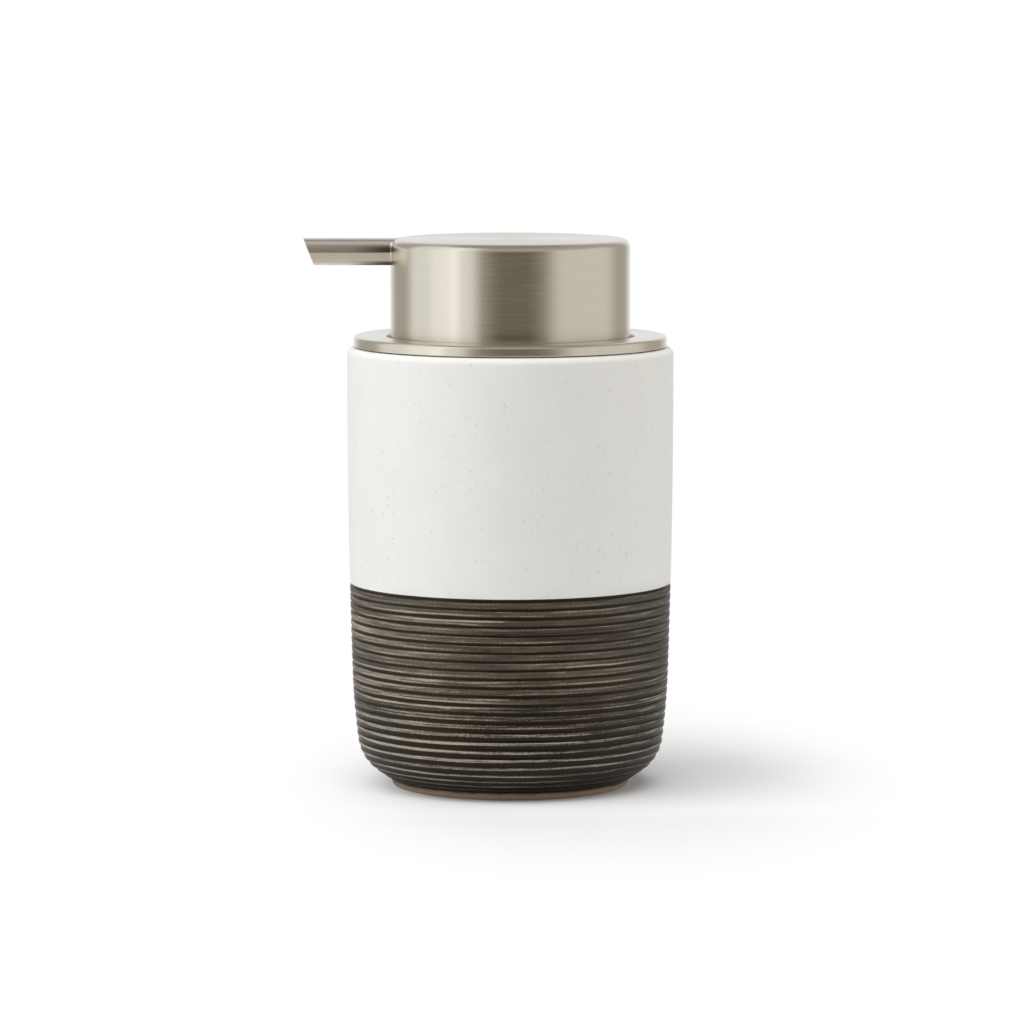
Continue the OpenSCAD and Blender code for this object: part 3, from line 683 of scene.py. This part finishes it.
# ---- Return spring ----------------------------------------------------------------------------
# Stainless wire coiled cold, 0.9 mm thick, with a closed turn at each end. It stands on the ball's
# cage inside the cylinder and pushes the stem up.
low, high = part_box("return_spring")
WIRE_R, TURNS, PER_TURN, SHUT_GAP = 0.45, 7.5, 32, 0.02
coil_r = high[0] / MM - WIRE_R
free = (high[2] - low[2]) / MM - 2 * WIRE_R
shut = 2 * WIRE_R + SHUT_GAP
bm = bmesh.new()
bmesh.ops.create_circle(bm, segments=12, radius=WIRE_R * MM,
                        matrix=Matrix.Translation((coil_r * MM, 0, low[2] + WIRE_R * MM))
                        @ Matrix.Rotation(math.pi / 2, 4, "X"))
first = bm.edges[:]
last = bm.verts[:] + bm.edges[:]
for part, rise in ((1, shut), (TURNS - 2, free - 2 * shut), (1, shut)):
    count = round(part * PER_TURN)
    last = bmesh.ops.spin(bm, geom=last, cent=(0, 0, 0), axis=(0, 0, 1), angle=math.tau * part,
                          steps=count, dvec=(0, 0, rise * MM / count))["geom_last"]
bmesh.ops.holes_fill(bm, edges=first + [e for e in last if isinstance(e, bmesh.types.BMEdge)])
bmesh.ops.recalc_face_normals(bm, faces=bm.faces)


def plain_finish(name, hexes, grain, metal=0.0, rough=(0.3, 0.4), depth=0.02):
    """A one-colour finish whose tone, gloss and skin vary over a grain of this size in mm."""
    made, tree, shader = new_finish(name, Metallic=metal)
    where = add(tree, "ShaderNodeTexCoord").outputs["Object"]
    fine = add(tree, "ShaderNodeTexNoise", {"Vector": where, "Scale": 1 / (grain * MM),
                                            "Detail": 3.0})
    tone = add(tree, "ShaderNodeMix", {"Factor": fine.outputs["Fac"], 6: linear(hexes[0]),
                                       7: linear(hexes[1])}, data_type="RGBA")
    tree.links.new(tone.outputs[2], shader.inputs["Base Color"])
    gloss = add(tree, "ShaderNodeMapRange", {"Value": fine.outputs["Fac"], "To Min": rough[0],
                                             "To Max": rough[1]})
    tree.links.new(gloss.outputs["Result"], shader.inputs["Roughness"])
    skin = add(tree, "ShaderNodeBump", {"Height": fine.outputs["Fac"], "Strength": 0.3,
                                        "Distance": depth * MM})
    tree.links.new(skin.outputs["Normal"], shader.inputs["Normal"])
    return made


spring_wire = plain_finish("stainless_spring_wire", ("#a8a6a2", "#c2c0bc"), 0.4, metal=1.0,
                           rough=(0.22, 0.36))
spring = as_piece(bm, "return_spring_coil", [spring_wire])
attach(spring, "swivel")
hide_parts("return_spring")
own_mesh(spring)

# ---- Moulded pump parts -----------------------------------------------------------------------
# The pump's plastic and silicone pieces are plain injection mouldings, and the inlet ball is
# ground steel. Their shapes are right as they come, so each only gets its own finish.
grey_abs = plain_finish("moulded_grey_abs", ("#5a5856", "#625f5c"), 1.2, rough=(0.38, 0.5))
white_pp = plain_finish("moulded_white_polypropylene", ("#e6e6e2", "#efefec"), 1.5,
                        rough=(0.3, 0.42))
natural_pp = plain_finish("moulded_natural_polypropylene", ("#dbdddb", "#dfe1de"), 8.0,
                          rough=(0.29, 0.33), depth=0.001)
black_silicone = plain_finish("moulded_black_silicone", ("#1d1d1d", "#262625"), 0.8,
                              rough=(0.5, 0.62))
milky_silicone = plain_finish("moulded_milky_silicone", ("#b6b3ac", "#c2c0ba"), 1.0,
                              rough=(0.4, 0.5))
ball_steel = plain_finish("polished_steel_ball", ("#c9c9c8", "#d6d6d5"), 3.0, metal=1.0,
                          rough=(0.06, 0.1), depth=0.002)
for finish, names in (
        (grey_abs, ("well_cup", "inner_actuator")),
        (white_pp, ("closure_nut", "stem_guide", "ball_retainer", "stem", "stem_plug")),
        (natural_pp, ("pump_cylinder", "dip_tube", "nozzle_tube", "piston")),
        (black_silicone, ("plug_sleeve", "cylinder_gasket", "stem_wiper")),
        (milky_silicone, ("rim_gasket",)),
        (ball_steel, ("inlet_ball",))):
    for name in names:
        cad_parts[name].material_slots[0].material = finish

# ---- Studio -----------------------------------------------------------------------------------
# A round white table in front of a white backdrop. The room round it holds one tall softbox on the
# left and a weaker one on the right, and is dark at the horizon behind the camera. The table's
# colour is painted a shade greyer in front, as painted shade where it is further from the lamps.
# Past an oval round the jar and its shadow it fades to the backdrop's white, but only as the camera
# sees it. These sizes are in metres.
TABLE_R, GREY_FROM, GREY_TO = 0.15, -0.04, -0.062
OVAL_X, OVAL_DEPTH, OVAL_FROM, OVAL_TO = 0.02, 2, 0.034, 0.078
floor_mesh = bmesh.new()
bmesh.ops.create_circle(floor_mesh, cap_ends=True, segments=96, radius=TABLE_R)
floor = as_piece(floor_mesh, "studio_floor", [])
table, tree, shader = new_finish("white_table", Roughness=0.9, Specular_IOR_Level=0.0)
out = next(n for n in tree.nodes if n.bl_idname == "ShaderNodeOutputMaterial")
where = add(tree, "ShaderNodeTexCoord").outputs["Object"]
depth = add(tree, "ShaderNodeSeparateXYZ", {"Vector": where}).outputs["Y"]
# Painted shade: the table's colour turns greyer towards the front.
ahead = add(tree, "ShaderNodeMapRange", {"Value": depth, "From Min": GREY_FROM,
                                         "From Max": GREY_TO}, interpolation_type="SMOOTHSTEP")
paper_and_shade = add(tree, "ShaderNodeMix", {"Factor": ahead.outputs["Result"], 6: linear("#eeeeee"),
                                    7: linear("#e4e4e4")}, data_type="RGBA")
tree.links.new(paper_and_shade.outputs[2], shader.inputs["Base Color"])
oval = add(tree, "ShaderNodeMapping", {"Vector": where, "Location": (-OVAL_X, 0, 0),
                                       "Scale": (1, 1 / OVAL_DEPTH, 1)}, vector_type="POINT")
away = add(tree, "ShaderNodeVectorMath", {0: oval.outputs["Vector"]}, operation="LENGTH")
far = add(tree, "ShaderNodeMapRange", {"Value": away.outputs["Value"], "From Min": OVAL_FROM,
                                       "From Max": OVAL_TO}, interpolation_type="SMOOTHSTEP")
seen = add(tree, "ShaderNodeLightPath").outputs["Is Camera Ray"]
fade = add(tree, "ShaderNodeMath", {0: far.outputs["Result"], 1: seen}, operation="MULTIPLY")
white = add(tree, "ShaderNodeEmission", {"Color": (1, 1, 1, 1), "Strength": 1.0})
mixed = add(tree, "ShaderNodeMixShader", {0: fade.outputs[0], 1: shader.outputs["BSDF"],
                                          2: white.outputs["Emission"]})
tree.links.new(mixed.outputs["Shader"], out.inputs["Surface"])
floor.data.materials.append(table)

world = bpy.data.worlds.new("studio")
bpy.context.scene.world = world
world.use_nodes = True
tree = world.node_tree
tree.nodes.clear()
# Azimuth is measured from the camera's side, to the right.
toward = add(tree, "ShaderNodeTexCoord").outputs["Generated"]
heading = add(tree, "ShaderNodeSeparateXYZ", {"Vector": toward})
front = add(tree, "ShaderNodeMath", {0: heading.outputs["Y"], 1: -1.0}, operation="MULTIPLY")
azimuth = add(tree, "ShaderNodeMath", {0: heading.outputs["X"], 1: front.outputs[0]},
              operation="ARCTAN2").outputs[0]
off_axis = add(tree, "ShaderNodeMath", {0: azimuth}, operation="ABSOLUTE").outputs[0]
elevation = add(tree, "ShaderNodeMath", {0: heading.outputs["Z"]}, operation="ARCSINE").outputs[0]


def ramp(angle, start, stop):
    """Rises softly from 0 to 1 as the angle goes from start to stop degrees."""
    made = add(tree, "ShaderNodeMapRange", {"Value": angle, "From Min": math.radians(start),
                                            "From Max": math.radians(stop)},
               interpolation_type="SMOOTHSTEP")
    return made.outputs["Result"]


def lit(room, share, shade):
    """The room's light with this shade mixed in by a share."""
    made = add(tree, "ShaderNodeMix", {"Factor": share, 6: room, 7: shade + (1,)},
               data_type="RGBA")
    return made.outputs[2]


def all_of(*shares):
    """The product of several shares."""
    total = shares[0]
    for share in shares[1:]:
        total = add(tree, "ShaderNodeMath", {0: total, 1: share}, operation="MULTIPLY").outputs[0]
    return total


# The table's glow below, the dark at the horizon, and the wall above it.
room = lit((0.6, 0.56, 0.5, 1), ramp(elevation, -14, -7), (0.06, 0.048, 0.03))
room = lit(room, ramp(elevation, 2, 22), (0.38, 0.365, 0.34))
# The walls at the left and the right, the wall high up but for its right side, and the ceiling.
room = lit(room, ramp(azimuth, -6, -40), (0.46, 0.44, 0.41))
room = lit(room, ramp(azimuth, 14, 50), (0.46, 0.44, 0.41))
room = lit(room, all_of(ramp(elevation, 20, 44), ramp(azimuth, 62, 30)), (0.5, 0.49, 0.47))
room = lit(room, ramp(elevation, 52, 66), (0.33, 0.32, 0.3))
# The left softbox, in three steps that are brightest towards its nearer side.
left = ramp(elevation, 66, 46)
room = lit(room, all_of(ramp(azimuth, -122, -104), ramp(azimuth, -25, -41), left), (0.9, 0.92, 0.95))
room = lit(room, all_of(ramp(azimuth, -88, -76), ramp(azimuth, -46, -53), left), (1.08, 1.1, 1.14))
room = lit(room, all_of(ramp(azimuth, -63, -57), ramp(azimuth, -49, -55), left), (1.24, 1.27, 1.32))
# The right softbox.
room = lit(room, all_of(ramp(azimuth, 31, 53), ramp(azimuth, 128, 104), ramp(elevation, 36, 22)),
           (0.74, 0.74, 0.72))
# The backdrop behind the jar, which the camera sees as pure white.
room = lit(room, all_of(ramp(off_axis, 142, 166), ramp(elevation, -60, -50),
                      ramp(elevation, 60, 40)), (0.88, 0.9, 0.93))
seen = add(tree, "ShaderNodeLightPath").outputs["Is Camera Ray"]
back = add(tree, "ShaderNodeBackground", {"Color": lit(room, seen, (1.0, 1.0, 1.0)),
                                          "Strength": 1.0})
add(tree, "ShaderNodeOutputWorld", {"Surface": back.outputs["Background"]})


def lamp(name, azimuth, elevation, distance, width, height, level):
    """A soft rectangular lamp aimed at the jar's middle. It lights surfaces but isn't mirrored in
    the metal. level is its face's brightness."""
    a, e = math.radians(azimuth), math.radians(elevation)
    aim = Vector((0, 0, 0.06))
    toward = Vector((math.sin(a) * math.cos(e), -math.cos(a) * math.cos(e), math.sin(e)))
    place = aim + distance * toward
    light = bpy.data.lights.new(name, "AREA")
    light.shape = "RECTANGLE"
    light.size, light.size_y = width, height
    light.energy = level * math.pi * width * height
    made = bpy.data.objects.new(name, light)
    made.location = place
    made.rotation_euler = (aim - place).to_track_quat("-Z", "Y").to_euler()
    made.visible_glossy = False
    bpy.context.scene.collection.objects.link(made)


lamp("key_left", -70, 42, 0.9, 0.7, 0.6, 2.1)
lamp("front_top", 10, 55, 1.1, 1.0, 0.6, 2.1)
lamp("overhead", 0, 82, 1.1, 1.0, 1.0, 0.8)
lamp("fill_right", 105, 20, 1.0, 0.6, 0.6, 1.8)

# A long lens from a little above the jar, looking slightly down.
CAMERA_AT, LOOK_DOWN = (0.00041, -1.300, 0.2005), 0.1035
LENS, SENSOR_WIDTH = 191.6, 36.0
camera_data = bpy.data.cameras.new("camera")
camera_data.lens = LENS
camera_data.sensor_width = SENSOR_WIDTH
camera_data.clip_start, camera_data.clip_end = 0.1, 20
camera = bpy.data.objects.new("camera", camera_data)
camera.location = CAMERA_AT
camera.rotation_euler = (math.pi / 2 - LOOK_DOWN, 0, 0)
bpy.context.scene.collection.objects.link(camera)
bpy.context.scene.camera = camera
bpy.context.scene.view_settings.view_transform = "Standard"
